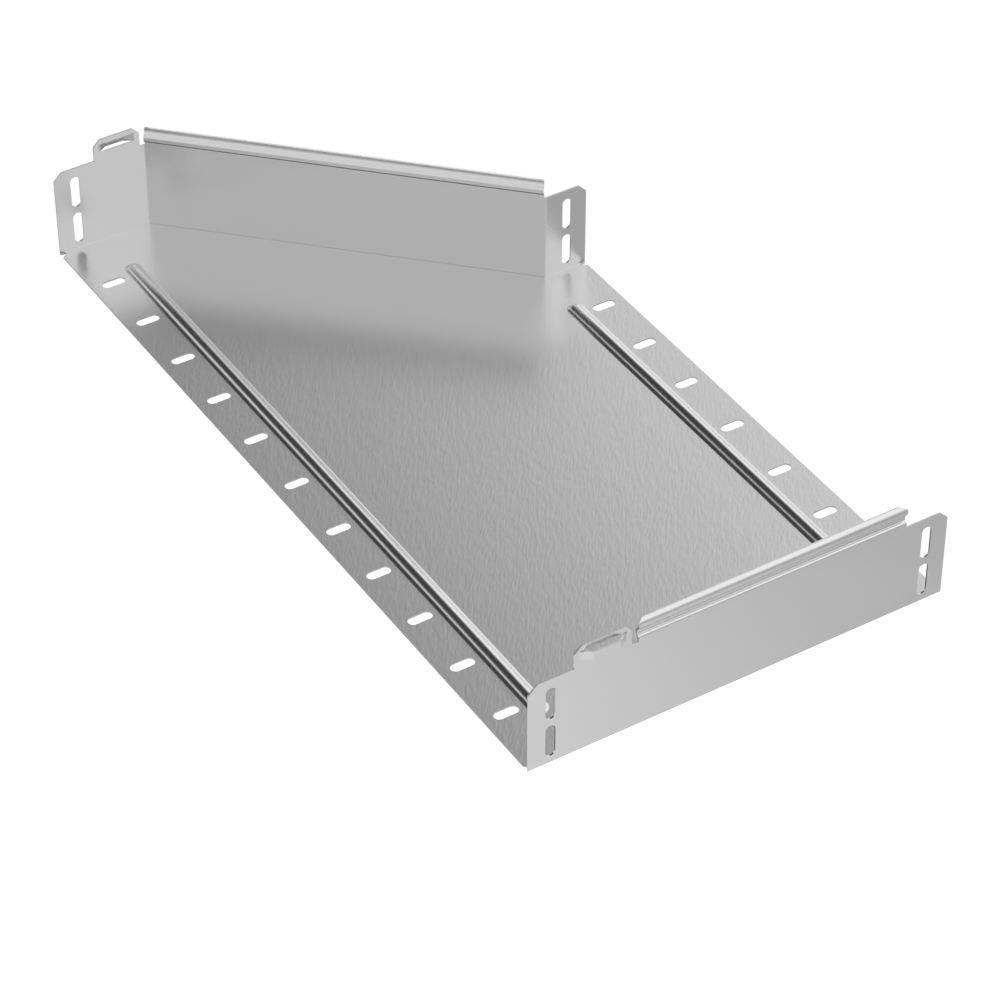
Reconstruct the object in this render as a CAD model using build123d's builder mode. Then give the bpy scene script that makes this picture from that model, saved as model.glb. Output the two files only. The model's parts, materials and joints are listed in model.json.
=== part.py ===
from build123d import *
import math
import os

# One-sided cable tray reducer, folded from one steel sheet. Millimetres.
# X runs along the tray, from the wide end (-X) to the narrow end (+X).
# Y runs across it, and the straight side wall stands at -Y. Z is up, from the underside at zero.

# Overall sizes
sheet = 1.0
tray_length = 303.3
wide_width = 606.7
narrow_width = 406.7
wall_height = 67.3
wide_straight = 70.3
narrow_straight = 32.3

# Folds
foot_radius = 0.3
corner_fold_radius = 1.5
notch_size = 4.2

# Slots in the floor, for the joint plates
slot_length = 17.0
slot_width = 7.2
slot_inset = 16.1
slot_pitch = 50.0
middle_pitch = 53.6
slot_edge_margin = 40.0

# Slots in the ends of the side walls
wall_slot_length = 24.5
wall_slot_width = 7.0
wall_slot_inset = 15.5
wall_slot_foot = 5.8
wall_slot_pitch = 29.8
wall_corner = 6.0

# Stiffening ribs, pressed up across the floor
rib_inset = 34.9
rib_width = 13.3
rib_height = 3.5
rib_foot_radius = 3.4
rib_end_margin = 36.5

# Rolled lip along the top of each long wall: a shelf, a neck, and a round that turns inwards
lip_start = 76.3
lip_end = 31.7
lip_fold_gap = 0.9
shelf_height = 3.1
shelf_rise = 0.9
neck_depth = 2.7
shelf_root_radius = 1.5
shelf_end_radius = 1.2
neck_radius = 1.2
roll_radius = 3.9
roll_centre_depth = 3.5
roll_centre_height = 12.0
roll_start_angle = 35.0
roll_sweep = 130.0
roll_corner = 5.0

# Loop tabs that stand up at the wide end, each with a strap pressed outwards
tab_start = 31.4
near_tab_width = 40.1
far_tab_width = 35.2
tab_height = 16.2
tab_corner = 5.2
strap_post = 3.9
strap_foot = 5.9
strap_height = 5.6
strap_gap = 0.9
strap_offset = 4.4
strap_ramp = 6.8
strap_bend = 0.8

# Places that follow from the sizes
wide_x = -tray_length / 2
narrow_x = tray_length / 2
near_y = -wide_width / 2
far_wide_y = wide_width / 2
far_narrow_y = near_y + narrow_width
bend_start_x = wide_x + wide_straight
bend_end_x = narrow_x - narrow_straight
tab_top = wall_height + tab_height
foot_depth = sheet + foot_radius
slant = math.atan2(far_wide_y - far_narrow_y, bend_end_x - bend_start_x)
slant_length = math.hypot(far_wide_y - far_narrow_y, bend_end_x - bend_start_x)
slant_along = Vector(math.cos(slant), -math.sin(slant))
slant_inward = Vector(-math.sin(slant), -math.cos(slant))
rib_arcs = (rib_width ** 2 / 4 + rib_height ** 2) / (2 * rib_height)
rib_crown_radius = rib_arcs - rib_foot_radius
rib_flank = math.asin(rib_width / 2 / rib_arcs)
past_end = 10.0

# Places of the far wall's two upright folds in the list of the plan's corners
narrow_fold = 3
wide_fold = 4


def plan_points(inset, overrun):
    """Corners of the tray's plan, drawn in from the outer wall faces by an inset."""
    shift = inset * math.tan(slant / 2)
    return [
        (wide_x - overrun, near_y + inset),
        (narrow_x + overrun, near_y + inset),
        (narrow_x + overrun, far_narrow_y - inset),
        (bend_end_x - shift, far_narrow_y - inset),
        (bend_start_x - shift, far_wide_y - inset),
        (wide_x - overrun, far_wide_y - inset),
    ]


def runs_along_tray(edge):
    """True for every edge but those that lie square across the tray."""
    return abs(edge.tangent_at(0.5).Y) < 0.9


def slot_row(centre_y, width):
    """Middles of the floor slots: one on the tray's centre line and a row out to each side."""
    rest = width / 2 - slot_edge_margin - middle_pitch
    steps = int(rest // slot_pitch)
    side = [middle_pitch + slot_pitch * step for step in range(steps + 1)]
    return [centre_y] + [centre_y + y for y in side] + [centre_y - y for y in side]


def rib_half():
    """Half of a rib's cross-section: the sheet's arc at the foot, and its arc over the crown."""
    foot_centre = (rib_width / 2, sheet + rib_foot_radius)
    crown_centre = (0, sheet + rib_height - rib_crown_radius)
    flank = math.degrees(rib_flank)
    with BuildSketch() as half:
        with BuildLine():
            foot_top = CenterArc(foot_centre, rib_foot_radius, -90, -flank)
            foot_under = CenterArc(foot_centre, rib_foot_radius + sheet, -90, -flank)
            crown_top = CenterArc(crown_centre, rib_crown_radius, 90, -flank)
            crown_under = CenterArc(crown_centre, rib_crown_radius - sheet, 90, -flank)
            Line(foot_top @ 0, foot_under @ 0)
            Line(crown_top @ 0, crown_under @ 0)
        make_face()
    return half.sketch


def lip_section():
    """Cross-section of the rolled lip: distance in from the wall's face, and height."""
    half = sheet / 2
    middle_radius = roll_radius - half
    start_angle = math.radians(roll_start_angle)
    centre = (roll_centre_depth, wall_height + roll_centre_height)
    roll_start = (
        centre[0] - middle_radius * math.cos(start_angle),
        centre[1] - middle_radius * math.sin(start_angle),
    )
    neck_top = roll_start[1] - (neck_depth - roll_start[0]) / math.tan(start_angle)
    with BuildSketch() as section:
        with BuildLine():
            FilletPolyline(
                (half, wall_height),
                (half, wall_height + shelf_height),
                (neck_depth, wall_height + shelf_height + shelf_rise),
                (neck_depth, neck_top),
                roll_start,
                radius=[shelf_root_radius, shelf_end_radius, neck_radius],
            )
            CenterArc(centre, middle_radius, 180 + roll_start_angle, -roll_sweep)
        trace(line_width=sheet)
    return section.sketch


near_lip = Plane(
    origin=(wide_x + lip_start, near_y, 0),
    x_dir=(0, 1, 0),
    z_dir=(1, 0, 0),
)
far_lip = Plane(
    origin=Vector(bend_end_x, far_narrow_y) - slant_along * lip_fold_gap,
    x_dir=slant_inward,
    z_dir=-slant_along,
)
lips = [
    (near_lip, tray_length - lip_start - lip_end),
    (far_lip, slant_length - 2 * lip_fold_gap),
]
upright_folds = [
    (wide_fold, corner_fold_radius + sheet, corner_fold_radius),
    (narrow_fold, corner_fold_radius, corner_fold_radius + sheet),
]
rib_end_inset = rib_end_margin + rib_width / 2
ribs = [
    (wide_x + rib_inset, near_y + rib_end_inset, far_wide_y - rib_end_inset),
    (narrow_x - rib_inset, near_y + rib_end_inset, far_narrow_y - rib_end_inset),
]
narrow_middle_y = (near_y + far_narrow_y) / 2
floor_slots = [(wide_x + slot_inset, y) for y in slot_row(0, wide_width)]
floor_slots += [(narrow_x - slot_inset, y) for y in slot_row(narrow_middle_y, narrow_width)]
lower_slot_z = wall_slot_foot + wall_slot_length / 2
wall_slots = [
    (x, z)
    for x in (wide_x + wall_slot_inset, narrow_x - wall_slot_inset)
    for z in (lower_slot_z, lower_slot_z + wall_slot_pitch)
]
floor_corners = [
    (wide_x, 1, near_y, 1),
    (wide_x, 1, far_wide_y, -1),
    (narrow_x, -1, near_y, 1),
    (narrow_x, -1, far_narrow_y, -1),
]
tabs = [
    (near_y, -1, near_tab_width),
    (far_wide_y, 1, far_tab_width),
]

os.makedirs("parts", exist_ok=True)

with BuildPart() as reducer_body:
    # Floor and side walls: a block of the tray's outline, hollowed to the sheet's thickness
    with BuildSketch():
        with BuildLine():
            Polyline(*plan_points(0, 0), close=True)
        make_face()
    extrude(amount=wall_height)
    with BuildSketch(Plane.XY.offset(sheet)):
        with BuildLine():
            Polyline(*plan_points(sheet, past_end), close=True)
        make_face()
    extrude(amount=wall_height, mode=Mode.SUBTRACT)

    # Upright folds of the far wall, rounded outside and inside
    for corner, outside, inside in upright_folds:
        for inset, radius in ((0, outside), (sheet, inside)):
            fold_foot = Vector(*plan_points(inset, 0)[corner])
            fillet(reducer_body.edges().filter_by(Axis.Z).sort_by_distance(fold_foot)[0], radius)

    # Folds at the foot of the walls
    underside = reducer_body.edges().group_by(Axis.Z)[0]
    fillet(underside.filter_by(runs_along_tray), foot_depth)
    floor_face = reducer_body.faces().filter_by(Axis.Z).filter_by_position(Axis.Z, sheet, sheet)
    fillet(floor_face.edges().filter_by(runs_along_tray), foot_radius)

    # Cut top corners of the four wall ends
    chamfer(reducer_body.edges().filter_by(Axis.Y).group_by(Axis.Z)[-1], wall_corner)

    # Stiffening ribs: each is a rounded bead pressed up out of a strip of the floor, with round ends
    for rib_x, rib_start, rib_stop in ribs:
        with BuildSketch():
            with Locations((rib_x, (rib_start + rib_stop) / 2)):
                SlotCenterToCenter(rib_stop - rib_start, rib_width, rotation=90)
        extrude(amount=sheet, mode=Mode.SUBTRACT)
        with BuildSketch(Plane.XZ.offset(-rib_stop)):
            with Locations((rib_x, 0)):
                add(rib_half())
                add(rib_half().mirror(Plane.YZ))
        extrude(amount=rib_stop - rib_start)
        for end_y, turn in ((rib_start, -1), (rib_stop, 1)):
            with BuildSketch(Plane.XZ.offset(-end_y)):
                with Locations((rib_x, 0)):
                    add(rib_half())
            revolve(axis=Axis((rib_x, end_y, 0), (0, 0, turn)), revolution_arc=180)

    # Slots for the joint plates and bolts
    with BuildSketch():
        with Locations(*floor_slots):
            SlotOverall(slot_length, slot_width)
    extrude(amount=foot_depth, both=True, mode=Mode.SUBTRACT)
    with BuildSketch(Plane.XZ.offset(-far_wide_y)):
        with Locations(*wall_slots):
            SlotOverall(wall_slot_length, wall_slot_width, rotation=90)
    extrude(amount=wide_width, mode=Mode.SUBTRACT)

    # Relief notches in the floor's corners, beside the folds
    with BuildSketch():
        for end_x, inwards_x, wall_y, inwards_y in floor_corners:
            fold_y = wall_y + inwards_y * foot_depth
            with BuildLine():
                Polyline(
                    (end_x, fold_y),
                    (end_x, fold_y + inwards_y * notch_size),
                    (end_x + inwards_x * notch_size, fold_y),
                    close=True,
                )
            make_face()
    extrude(amount=foot_depth, both=True, mode=Mode.SUBTRACT)

    # Rolled lips, with the corners of their free edges cut off at an angle
    for lip_plane, lip_length in lips:
        with BuildSketch(lip_plane):
            add(lip_section())
        extrude(amount=lip_length, dir=lip_plane.z_dir)
        through_roll = Plane(
            origin=lip_plane.origin + Vector(0, 0, wall_height + roll_centre_height),
            x_dir=lip_plane.x_dir,
            z_dir=(0, 0, 1),
        )
        for end, into_lip in ((0, -1), (-lip_length, 1)):
            off_end = end - into_lip * past_end
            with BuildSketch(through_roll):
                with BuildLine():
                    Polyline(
                        (-roll_centre_depth, off_end),
                        (-roll_centre_depth, end - into_lip * roll_corner),
                        (roll_centre_depth, end + into_lip * roll_corner),
                        (roll_centre_depth + past_end, end + into_lip * roll_corner),
                        (roll_centre_depth + past_end, off_end),
                        close=True,
                    )
                make_face()
            extrude(amount=past_end, mode=Mode.SUBTRACT)

    # Loop tabs: a plate in line with the wall, a window in it, and the strap that came out of the window
    for wall_y, outwards, tab_width in tabs:
        middle_y = wall_y - outwards * sheet / 2
        left_x = wide_x + tab_start
        right_x = left_x + tab_width
        window_left = left_x + strap_post
        window_right = right_x - strap_post
        strap_y = middle_y + outwards * strap_offset
        strap_bottom = wall_height + strap_foot
        with BuildSketch(Plane.XZ.offset(-middle_y)):
            with BuildLine():
                Polyline(
                    (left_x, wall_height),
                    (left_x, tab_top - tab_corner),
                    (left_x + tab_corner, tab_top),
                    (right_x - tab_corner, tab_top),
                    (right_x, tab_top - tab_corner),
                    (right_x, wall_height),
                    close=True,
                )
            make_face()
        extrude(amount=sheet / 2, both=True)
        with BuildSketch(Plane.XZ.offset(-middle_y)):
            with Locations((window_left, strap_bottom)):
                Rectangle(
                    window_right - window_left,
                    strap_height + strap_gap,
                    align=(Align.MIN, Align.MIN),
                )
        extrude(amount=sheet, both=True, mode=Mode.SUBTRACT)
        with BuildSketch(Plane.XY.offset(strap_bottom)):
            with BuildLine():
                FilletPolyline(
                    (window_left - strap_bend, middle_y),
                    (window_left, middle_y),
                    (window_left + strap_ramp, strap_y),
                    (window_right - strap_ramp, strap_y),
                    (window_right, middle_y),
                    (window_right + strap_bend, middle_y),
                    radius=strap_bend,
                )
            trace(line_width=sheet)
        extrude(amount=strap_height, dir=(0, 0, 1))

reducer_body.part.label = "reducer_body"
export_step(reducer_body.part, "parts/reducer_body.step")
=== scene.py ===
import json
import math

import bpy
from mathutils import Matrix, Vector

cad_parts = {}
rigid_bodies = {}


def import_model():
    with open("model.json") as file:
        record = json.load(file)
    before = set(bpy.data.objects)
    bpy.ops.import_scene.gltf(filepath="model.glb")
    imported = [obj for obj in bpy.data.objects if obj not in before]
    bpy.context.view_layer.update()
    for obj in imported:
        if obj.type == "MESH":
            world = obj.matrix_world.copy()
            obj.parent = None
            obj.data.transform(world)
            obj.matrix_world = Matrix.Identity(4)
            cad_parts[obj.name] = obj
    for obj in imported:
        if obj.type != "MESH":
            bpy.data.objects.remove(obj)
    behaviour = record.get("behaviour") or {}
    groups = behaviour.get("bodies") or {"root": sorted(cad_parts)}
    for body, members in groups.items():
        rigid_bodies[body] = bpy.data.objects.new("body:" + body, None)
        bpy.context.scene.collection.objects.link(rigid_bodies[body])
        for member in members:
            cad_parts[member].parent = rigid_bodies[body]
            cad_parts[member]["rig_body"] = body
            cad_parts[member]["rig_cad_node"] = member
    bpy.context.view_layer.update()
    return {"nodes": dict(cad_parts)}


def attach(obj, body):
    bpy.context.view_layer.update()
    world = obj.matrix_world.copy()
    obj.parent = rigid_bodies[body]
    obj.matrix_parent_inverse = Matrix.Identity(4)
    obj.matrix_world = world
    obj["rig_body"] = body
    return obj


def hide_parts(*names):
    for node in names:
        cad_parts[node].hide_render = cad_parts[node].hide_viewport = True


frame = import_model()

# The reducer itself: one sheet of galvanised steel about 1 mm thick, cut, pressed and folded. It keeps
# the CAD mesh, joined up and smoothed, so that folds, lips and ribs read as bent metal. Its zinc is
# dull, with fine ripples drawn out slantwise, so the reflections break up into streaks.
ZINC_COLOUR = (0.8, 0.8, 0.8, 1.0)
ZINC_ROUGHNESS = 0.26
RIPPLE_WIDTH = 0.0016
RIPPLE_LENGTH = 4.5
RIPPLE_SLANT = math.radians(-40)
RIPPLE_HEIGHT = 0.000063
RIPPLE_DETAIL = 2.0
FINE_GRAIN_SIZE = 0.0007
FINE_GRAIN_HEIGHT = 0.000003
FINE_GRAIN_DETAIL = 1.0
FOLD_SMOOTHING = math.radians(38)
FLAT_FACE_WEIGHT = 100
MERGE_DISTANCE = 0.000005


def galvanised_steel(name):
    """Bare zinc-coated sheet: metal with a rippled, slightly rough skin."""
    material = bpy.data.materials.new(name)
    material.use_nodes = True
    nodes, links = material.node_tree.nodes, material.node_tree.links
    shader = nodes["Principled BSDF"]
    shader.inputs["Base Color"].default_value = ZINC_COLOUR
    shader.inputs["Metallic"].default_value = 1.0
    shader.inputs["Roughness"].default_value = ZINC_ROUGHNESS
    place = nodes.new("ShaderNodeTexCoord")
    drawn_out = nodes.new("ShaderNodeMapping")
    drawn_out.vector_type = "TEXTURE"
    drawn_out.inputs["Rotation"].default_value = (0.0, 0.0, RIPPLE_SLANT)
    drawn_out.inputs["Scale"].default_value = (1.0, RIPPLE_LENGTH, 1.0)
    ripple = nodes.new("ShaderNodeTexNoise")
    ripple.inputs["Scale"].default_value = 1 / RIPPLE_WIDTH
    ripple.inputs["Detail"].default_value = RIPPLE_DETAIL
    grain = nodes.new("ShaderNodeTexNoise")
    grain.inputs["Scale"].default_value = 1 / FINE_GRAIN_SIZE
    grain.inputs["Detail"].default_value = FINE_GRAIN_DETAIL
    links.new(place.outputs["Object"], drawn_out.inputs["Vector"])
    links.new(drawn_out.outputs["Vector"], ripple.inputs["Vector"])
    links.new(place.outputs["Object"], grain.inputs["Vector"])
    ripple_bump = nodes.new("ShaderNodeBump")
    ripple_bump.inputs["Strength"].default_value = 1.0
    ripple_bump.inputs["Distance"].default_value = RIPPLE_HEIGHT
    grain_bump = nodes.new("ShaderNodeBump")
    grain_bump.inputs["Strength"].default_value = 1.0
    grain_bump.inputs["Distance"].default_value = FINE_GRAIN_HEIGHT
    links.new(ripple.outputs["Fac"], ripple_bump.inputs["Height"])
    links.new(grain.outputs["Fac"], grain_bump.inputs["Height"])
    links.new(ripple_bump.outputs["Normal"], grain_bump.inputs["Normal"])
    links.new(grain_bump.outputs["Normal"], shader.inputs["Normal"])
    return material


bpy.ops.object.select_all(action="DESELECT")
folded_sheet = frame["nodes"]["reducer_body"].copy()
folded_sheet.data = frame["nodes"]["reducer_body"].data.copy()
folded_sheet.name = "folded_sheet"
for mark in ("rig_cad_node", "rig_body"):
    del folded_sheet[mark]
bpy.context.scene.collection.objects.link(folded_sheet)
bpy.context.view_layer.objects.active = folded_sheet
folded_sheet.select_set(True)
bpy.ops.object.mode_set(mode="EDIT")
bpy.ops.mesh.select_all(action="SELECT")
bpy.ops.mesh.customdata_custom_splitnormals_clear()
bpy.ops.mesh.remove_doubles(threshold=MERGE_DISTANCE)
bpy.ops.object.mode_set(mode="OBJECT")
bpy.ops.object.shade_smooth_by_angle(angle=FOLD_SMOOTHING)
flats_first = folded_sheet.modifiers.new("flats_first", "WEIGHTED_NORMAL")
flats_first.mode = "FACE_AREA"
flats_first.weight = FLAT_FACE_WEIGHT
flats_first.keep_sharp = True
bpy.ops.object.modifier_apply(modifier=flats_first.name)
folded_sheet.data.materials.clear()
folded_sheet.data.materials.append(galvanised_steel("galvanised_sheet"))
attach(folded_sheet, "root")
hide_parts("reducer_body")

# The floor: a plain pale sheet a hair below the underside, with the reducer's soft shadow on it.
# The camera sees the rest of it as white, and the metal mirrors it a little brighter than it is lit.
FLOOR_SIZE = 12.0
FLOOR_GAP = 0.0002
FLOOR_COLOUR = (0.5, 0.5, 0.5, 1.0)
CAMERA_LIFT = 0.75
MIRROR_LIFT = 0.05

bpy.ops.object.select_all(action="DESELECT")
bpy.ops.mesh.primitive_plane_add(size=FLOOR_SIZE, location=(0, 0, -FLOOR_GAP))
floor = bpy.context.object
floor.name = "floor"
floor_paint = bpy.data.materials.new("floor_paint")
floor_paint.use_nodes = True
paint_nodes, paint_links = floor_paint.node_tree.nodes, floor_paint.node_tree.links
paint = paint_nodes["Principled BSDF"]
paint.inputs["Base Color"].default_value = FLOOR_COLOUR
paint.inputs["Roughness"].default_value = 1.0
paint.inputs["Specular IOR Level"].default_value = 0.0
paint.inputs["Emission Color"].default_value = (1, 1, 1, 1)
paths = paint_nodes.new("ShaderNodeLightPath")
mirrored = paint_nodes.new("ShaderNodeMath")
mirrored.operation = "MAXIMUM"
paint_links.new(paths.outputs["Is Glossy Ray"], mirrored.inputs[0])
paint_links.new(paths.outputs["Is Transmission Ray"], mirrored.inputs[1])
mirror_lift = paint_nodes.new("ShaderNodeMath")
mirror_lift.operation = "MULTIPLY"
mirror_lift.inputs[1].default_value = MIRROR_LIFT
paint_links.new(mirrored.outputs[0], mirror_lift.inputs[0])
lift = paint_nodes.new("ShaderNodeMath")
lift.operation = "MULTIPLY_ADD"
lift.inputs[1].default_value = CAMERA_LIFT
paint_links.new(paths.outputs["Is Camera Ray"], lift.inputs[0])
paint_links.new(mirror_lift.outputs[0], lift.inputs[2])
paint_links.new(lift.outputs[0], paint.inputs["Emission Strength"])
floor.data.materials.append(floor_paint)

# The studio: soft light all round, dimmer low down in front on the right, under a dark ceiling that
# ends on the right in a wide soft edge. The metal shows the ceiling as the dark sides of the ribs, and
# its soft edge as the slow fall of tone across the floor. The camera sees plain white.
BACK_LIGHT = 0.95
FRONT_LEFT_LIGHT = 0.81
FRONT_RIGHT_LIGHT = 0.5
HIGH_LIGHT = 1.08
HIGH_FROM = (math.radians(9), math.radians(40))
LEFT_TO_RIGHT = (-0.4, 0.4)
FRONT_TO_BACK = (-0.3, 0.3)
CEILING_DARKNESS = 0.95
CEILING_RIGHT_EDGE = (0.36, 1.0)
CEILING_FOOT = (math.radians(8), math.radians(28))
FOOT_RISE_IN_FRONT = math.radians(32)
FOOT_FALLS_FROM = (-0.3, 0.2)
EDGE_SHIFT_OVERHEAD = 0.55
SHIFT_ENDS_BEHIND = (0.0, 0.8)
LOWEST_SLOPE = 0.05

world = bpy.data.worlds.new("studio")
bpy.context.scene.world = world
world.use_nodes = True
studio_nodes, studio_links = world.node_tree.nodes, world.node_tree.links
studio_nodes.clear()


def reckon(operation, *values):
    """A Math node of the studio that works on sockets or numbers."""
    node = studio_nodes.new("ShaderNodeMath")
    node.operation = operation
    for socket, value in zip(node.inputs, values):
        if isinstance(value, bpy.types.NodeSocket):
            studio_links.new(value, socket)
        else:
            socket.default_value = value
    return node.outputs[0]


def fade(value, span, low, high):
    """Goes smoothly from low to high as value goes through the span."""
    node = studio_nodes.new("ShaderNodeMapRange")
    node.interpolation_type = "SMOOTHSTEP"
    studio_links.new(value, node.inputs["Value"])
    node.inputs["From Min"].default_value = span[0]
    node.inputs["From Max"].default_value = span[1]
    for name, limit in (("To Min", low), ("To Max", high)):
        if isinstance(limit, bpy.types.NodeSocket):
            studio_links.new(limit, node.inputs[name])
        else:
            node.inputs[name].default_value = limit
    return node.outputs["Result"]


way = studio_nodes.new("ShaderNodeTexCoord")
parts_of_way = studio_nodes.new("ShaderNodeSeparateXYZ")
studio_links.new(way.outputs["Generated"], parts_of_way.inputs["Vector"])
to_right, to_back, upward = (parts_of_way.outputs[name] for name in "XYZ")
height = reckon("ARCSINE", upward)
front_low = fade(to_right, LEFT_TO_RIGHT, FRONT_LEFT_LIGHT, FRONT_RIGHT_LIGHT)
low = fade(to_back, FRONT_TO_BACK, front_low, BACK_LIGHT)
high = fade(to_right, LEFT_TO_RIGHT, FRONT_LEFT_LIGHT, HIGH_LIGHT)
sky = fade(height, HIGH_FROM, low, high)
slope = reckon("MAXIMUM", upward, LOWEST_SLOPE)
shift = fade(reckon("DIVIDE", to_back, slope), SHIFT_ENDS_BEHIND, EDGE_SHIFT_OVERHEAD, 0.0)
sideways = reckon("ADD", reckon("DIVIDE", to_right, slope), shift)
ceiling = fade(sideways, CEILING_RIGHT_EDGE, CEILING_DARKNESS, 0.0)
foot_rise = fade(to_back, FOOT_FALLS_FROM, FOOT_RISE_IN_FRONT, 0.0)
above_foot = reckon("SUBTRACT", height, foot_rise)
ceiling = reckon("MULTIPLY", ceiling, fade(above_foot, CEILING_FOOT, 0.0, 1.0))
light_level = reckon("MULTIPLY", sky, reckon("SUBTRACT", 1.0, ceiling))
ray = studio_nodes.new("ShaderNodeLightPath")
soft_light = studio_nodes.new("ShaderNodeBackground")
studio_links.new(light_level, soft_light.inputs["Strength"])
white_view = studio_nodes.new("ShaderNodeBackground")
white_view.inputs["Strength"].default_value = 1.0
for background in (soft_light, white_view):
    background.inputs["Color"].default_value = (1, 1, 1, 1)
either = studio_nodes.new("ShaderNodeMixShader")
studio_links.new(ray.outputs["Is Camera Ray"], either.inputs["Fac"])
studio_links.new(soft_light.outputs[0], either.inputs[1])
studio_links.new(white_view.outputs[0], either.inputs[2])
studio_out = studio_nodes.new("ShaderNodeOutputWorld")
studio_links.new(either.outputs[0], studio_out.inputs["Surface"])

# A wide lamp in front on the left, near enough that its light falls off along the straight wall and
# the floor before it. It throws the soft shadow, and the metal shows only what it lights.
LAMP_PLACE = (-0.5, -0.62, 0.46)
LAMP_SIZE = 0.5
LAMP_POWER = 6.3

bpy.ops.object.light_add(type="AREA", location=LAMP_PLACE)
lamp = bpy.context.object
lamp.name = "soft_lamp"
lamp.data.shape = "DISK"
lamp.data.size = LAMP_SIZE
lamp.data.energy = LAMP_POWER
lamp.rotation_euler = Vector(LAMP_PLACE).to_track_quat("Z", "Y").to_euler()
lamp.visible_glossy = False
lamp.visible_camera = False

# The camera stands where the photograph was taken from: in front of the wide end, looking down
# at 40 degrees.
CAMERA_PLACE = (-1.01607, -1.65571, 1.5571)
CAMERA_BEARING = math.radians(32.0)
CAMERA_FALL = math.radians(40.0124)
CAMERA_LENS = 136.27
SENSOR_WIDTH = 36

aim = Vector(
    (
        math.sin(CAMERA_BEARING) * math.cos(CAMERA_FALL),
        math.cos(CAMERA_BEARING) * math.cos(CAMERA_FALL),
        -math.sin(CAMERA_FALL),
    )
)
bpy.ops.object.camera_add(location=CAMERA_PLACE, rotation=aim.to_track_quat("-Z", "Y").to_euler())
camera = bpy.context.object
camera.data.lens = CAMERA_LENS
camera.data.sensor_width = SENSOR_WIDTH
bpy.context.scene.camera = camera

bpy.context.scene.view_settings.view_transform = "Standard"
